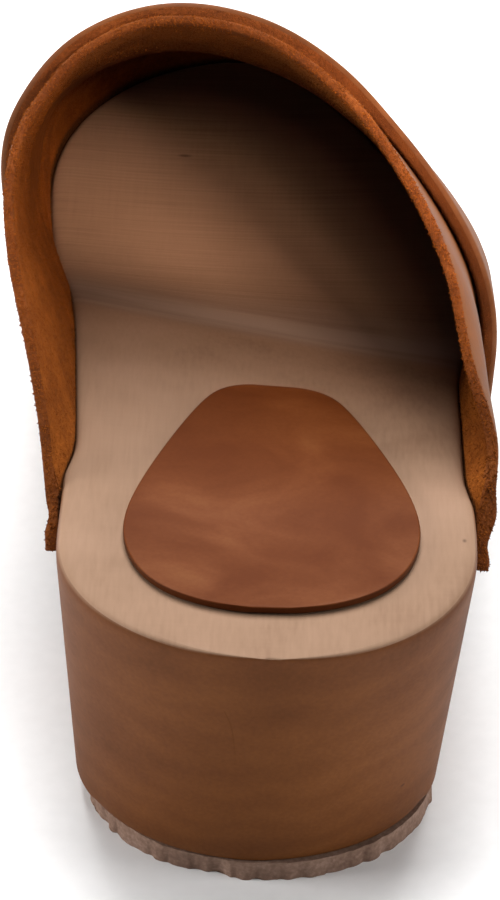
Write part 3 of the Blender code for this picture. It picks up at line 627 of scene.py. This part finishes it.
def strap_share(at):
    """How far the strap closes on the vamp: all the way, apart from its back edge at the lateral side."""
    open_here = ease(STRAP_SHUT_X, STRAP_OPEN_X, at.x) * (1 - ease(STRAP_OPEN_Y, STRAP_SHUT_Y, at.y))
    return 1 - (1 - STRAP_OPEN_SHARE) * open_here


def make_strap(upper, wood):
    """The strap over the instep. Its largest faces tell grain from flesh."""
    piece = copied("instep_strap", "leather_instep_strap", LEATHER_MERGE)
    leather_regions(
        piece,
        lambda faces: max(faces, key=lambda face: face.area + (face.normal.z > 0.5)),
        lambda faces: max(faces, key=lambda face: face.area + (face.normal.z < -0.5)))
    draw_in(piece, upper, STRAP_REACH, strap_share)
    roll_grain(piece, STRAP_ROLL)
    soften_edges(piece, CUT_EDGE_ROUND, 1, EDGE_SLOT)
    rounded(piece, 3)
    spread_painted_shade(piece, wood, PAINTED_SHADE_STRAP)
    belongs(piece, "instep_strap")
    return piece


def make_nap(name, piece, grows, count, width, shortest, longest, seed):
    """Loose fibres on the faces of raw hide where they grow, thin closed spikes joined in one mesh."""
    dice = random.Random(seed)
    faces = [face for face in piece.data.polygons if grows(face)]
    painted_shade = piece.data.attributes["painted_shade"].data
    verts = []
    sides = []
    shade = []
    third = 2 * math.pi / 3
    for face in dice.choices(faces, [face.area for face in faces], k=count):
        corners = [piece.data.vertices[v].co for v in face.vertices]
        shares = [dice.expovariate(1.0) for _ in corners]
        spot = sum((co * share for co, share in zip(corners, shares)), Vector()) / sum(shares)
        lean = Vector([dice.gauss(0, NAP_LEAN) for _ in range(3)])
        ahead = (face.normal + lean).normalized()
        across = ahead.orthogonal().normalized() * width
        ring = [spot - ahead * NAP_ROOT + Matrix.Rotation(third * k, 3, ahead) @ across for k in range(3)]
        a = len(verts)
        verts += [*ring, spot + ahead * dice.uniform(shortest, longest)]
        sides += [(a + 2, a + 1, a), (a, a + 1, a + 3), (a + 1, a + 2, a + 3), (a + 2, a, a + 3)]
        # Each fibre carries the painted shade of the face it grows from.
        shade += [painted_shade[face.vertices[0]].value] * 4
    mesh = bpy.data.meshes.new(name)
    mesh.from_pydata(verts, [], sides)
    mesh.attributes.new("painted_shade", "FLOAT", "POINT").data.foreach_set("value", shade)
    mesh.materials.append(FLESH)
    nap = bpy.data.objects.new(name, mesh)
    bpy.context.scene.collection.objects.link(nap)
    belongs(nap, None)


def is_cut_edge(face):
    """Test for faces of the raw cut."""
    return face.material_index == EDGE_SLOT


def near_throat(piece):
    """Test for faces of flesh or cut edge that lie near the upper edge of the leather."""
    rim = [face.center for face in piece.data.polygons
           if is_cut_edge(face) and face.normal.z > -0.5]
    tree = KDTree(len(rim))
    for i, at in enumerate(rim):
        tree.insert(at, i)
    tree.balance()
    return lambda face: face.material_index != GRAIN_SLOT and tree.find(face.center)[2] < NAP_BAND


def edge_top(piece, edge):
    """Height of the edge's upper end."""
    return max(piece.data.vertices[v].co.z for v in edge.vertices)


def edge_rise(piece, edge):
    """How far the edge goes up from one end to the other."""
    a, b = (piece.data.vertices[v].co for v in edge.vertices)
    return abs(b.z - a.z)


def make_sole():
    """The carved wood, its edges rounded by sanding."""
    piece = copied("sole", "wooden_sole")
    piece.data.materials.append(WOOD)
    mark_edges(piece, WOOD_SHARP)
    pick(piece, "EDGE", lambda edge: edge_rise(piece, edge) > TALL_EDGE)
    bpy.ops.mesh.subdivide(number_cuts=TALL_EDGE_CUTS)
    bpy.ops.object.mode_set(mode="OBJECT")
    pick(piece, "EDGE", lambda edge: edge.use_edge_sharp and edge_top(piece, edge) < LOW_EDGES)
    bpy.ops.transform.edge_crease(value=1.0)
    bpy.ops.object.mode_set(mode="OBJECT")
    rounded(piece, 2)
    belongs(piece, "sole")
    return piece


def make_pad():
    """The sock on the heel seat, its cut edge pressed round."""
    piece = copied("heel_pad", "heel_sock")
    piece.data.materials.append(SOCK)
    mark_edges(piece)
    soften_edges(piece, PAD_EDGE_ROUND, segments=3)
    rounded(piece, 2)
    belongs(piece, "heel_pad")


def even_outline(verts, middle, neighbours):
    """Evens the distance of neighbouring verts from the middle, so that a toothed outline gets softer."""
    ring = sorted(verts, key=lambda vert: math.atan2(vert.co.y - middle.y, vert.co.x - middle.x))
    flat = [Vector((vert.co.x - middle.x, vert.co.y - middle.y)) for vert in ring]
    for i, vert in enumerate(ring):
        near = [flat[(i + k) % len(ring)].length for k in range(-neighbours, neighbours + 1)]
        out = flat[i].normalized() * sum(near) / len(near)
        vert.co.x = middle.x + out.x
        vert.co.y = middle.y + out.y


def make_rubber(node, name, seed):
    """Sheet rubber, trimmed unevenly. The heel's toothed edge is worn as well, with one longer cut behind."""
    piece = copied(node, name)
    piece.data.materials.append(RUBBER)
    dice = random.Random(seed)
    at_heel = node == "heel_rubber"
    middle = sum((vert.co for vert in piece.data.vertices), Vector()) / len(piece.data.vertices)
    side = {v for face in piece.data.polygons if abs(face.normal.z) < 0.5 for v in face.vertices}
    for ring in TRIM_RINGS if at_heel else ():
        even_outline([vert for vert in piece.data.vertices
                      if vert.index in side and ring["above"] < vert.co.z <= ring["up_to"]],
                     middle, ring["neighbours"])
    moves = {}
    for vert in piece.data.vertices:
        key = (round(vert.co.x / MM, 1), round(vert.co.y / MM, 1))
        if key not in moves:
            out = Vector((vert.co.x - middle.x, vert.co.y - middle.y, 0)).normalized()
            along = Vector((-out.y, out.x, 0))
            left = (TRIM_STEP_X - vert.co.x) / TRIM_STEP_LENGTH
            behind = at_heel and vert.co.y < middle.y
            cut = TRIM_STEP_DEEP * (1 - left) ** 2 if behind and 0 < left < 1 else 0.0
            deep = dice.uniform(-1, 1) * TRIM_DEEP - cut
            moves[key] = out * deep + along * dice.uniform(-1, 1) * TRIM_ALONG
        vert.co += moves[key] * (TRIM_TOP_SHARE if vert.co.z > TRIM_MIDDLE else 1.0)
    mark_edges(piece, RUBBER_SHARP)
    soften_edges(piece, RUBBER_EDGE_ROUND, clamp=True)
    rounded(piece, 2)
    belongs(piece, node)


def make_floor():
    """A plain floor that is only staging."""
    bpy.ops.object.select_all(action="DESELECT")
    bpy.ops.mesh.primitive_plane_add(size=FLOOR_SIZE)
    floor = bpy.context.view_layer.objects.active
    floor.name = "floor"
    floor.data.materials.append(PAPER)


def make_camera():
    """The photograph's view of the shoe."""
    level = math.cos(CAMERA_RISE)
    ahead = Vector((math.sin(CAMERA_TURN) * level, math.cos(CAMERA_TURN) * level, -math.sin(CAMERA_RISE)))
    right = Vector((math.cos(CAMERA_TURN), -math.sin(CAMERA_TURN), 0.0))
    up = right.cross(ahead)
    rolled_right = math.cos(CAMERA_ROLL) * right + math.sin(CAMERA_ROLL) * up
    rolled_up = math.cos(CAMERA_ROLL) * up - math.sin(CAMERA_ROLL) * right
    axes = Matrix((rolled_right, rolled_up, -ahead)).transposed().to_4x4()
    bpy.ops.object.camera_add()
    camera = bpy.context.view_layer.objects.active
    camera.matrix_world = Matrix.Translation(CAMERA_AIM - ahead * CAMERA_FAR) @ axes
    camera.data.sensor_fit = "VERTICAL"
    camera.data.sensor_height = SENSOR
    camera.data.lens = CAMERA_FOCUS_PX / PHOTO_HEIGHT * SENSOR
    camera.data.clip_start = 0.01
    bpy.context.scene.camera = camera


def point(light, aim):
    light.rotation_euler = (Vector(aim) - light.location).to_track_quat("-Z", "Y").to_euler()


def make_box(name, place, size, power):
    """A square soft box that points at the shoe."""
    bpy.ops.object.light_add(type="AREA", location=place)
    light = bpy.context.view_layer.objects.active
    light.name = name
    point(light, SHOE_MIDDLE)
    light.data.shape = "SQUARE"
    light.data.size = size
    light.data.energy = power


def make_lamp(name, place, aim, angle, power, radius):
    """A warm lamp with a snoot that keeps its light inside the shoe."""
    bpy.ops.object.light_add(type="SPOT", location=place)
    light = bpy.context.view_layer.objects.active
    light.name = name
    point(light, aim)
    light.data.spot_size = math.radians(angle)
    light.data.spot_blend = 1.0
    light.data.shadow_soft_size = radius
    light.data.energy = power
    light.data.color = srgb(LAMP_TINT)[:3]


def make_studio():
    """Soft boxes, lamps and a little light from the whole room."""
    for box in SOFT_BOXES:
        make_box(**box)
    for lamp in LAMPS:
        make_lamp(**lamp)
    world = bpy.data.worlds.new("studio")
    bpy.context.scene.world = world
    world.use_nodes = True
    room = world.node_tree.nodes["Background"]
    room.inputs["Color"].default_value = srgb("#FFFFFF")
    room.inputs["Strength"].default_value = ROOM_LIGHT
    bpy.context.scene.view_settings.view_transform = "Standard"


make_camera()
make_studio()
make_floor()
sole = make_sole()
upper = make_upper(sole)
strap = make_strap(upper, sole)
make_pad()
make_rubber("heel_rubber", "heel_tread", 3)
make_rubber("forefoot_rubber", "forefoot_tread", 4)
make_nap("upper_nap", upper, near_throat(upper), **UPPER_NAP)
make_nap("upper_tufts", upper, is_cut_edge, **UPPER_TUFTS)
make_nap("strap_nap", strap, near_throat(strap), **STRAP_NAP)
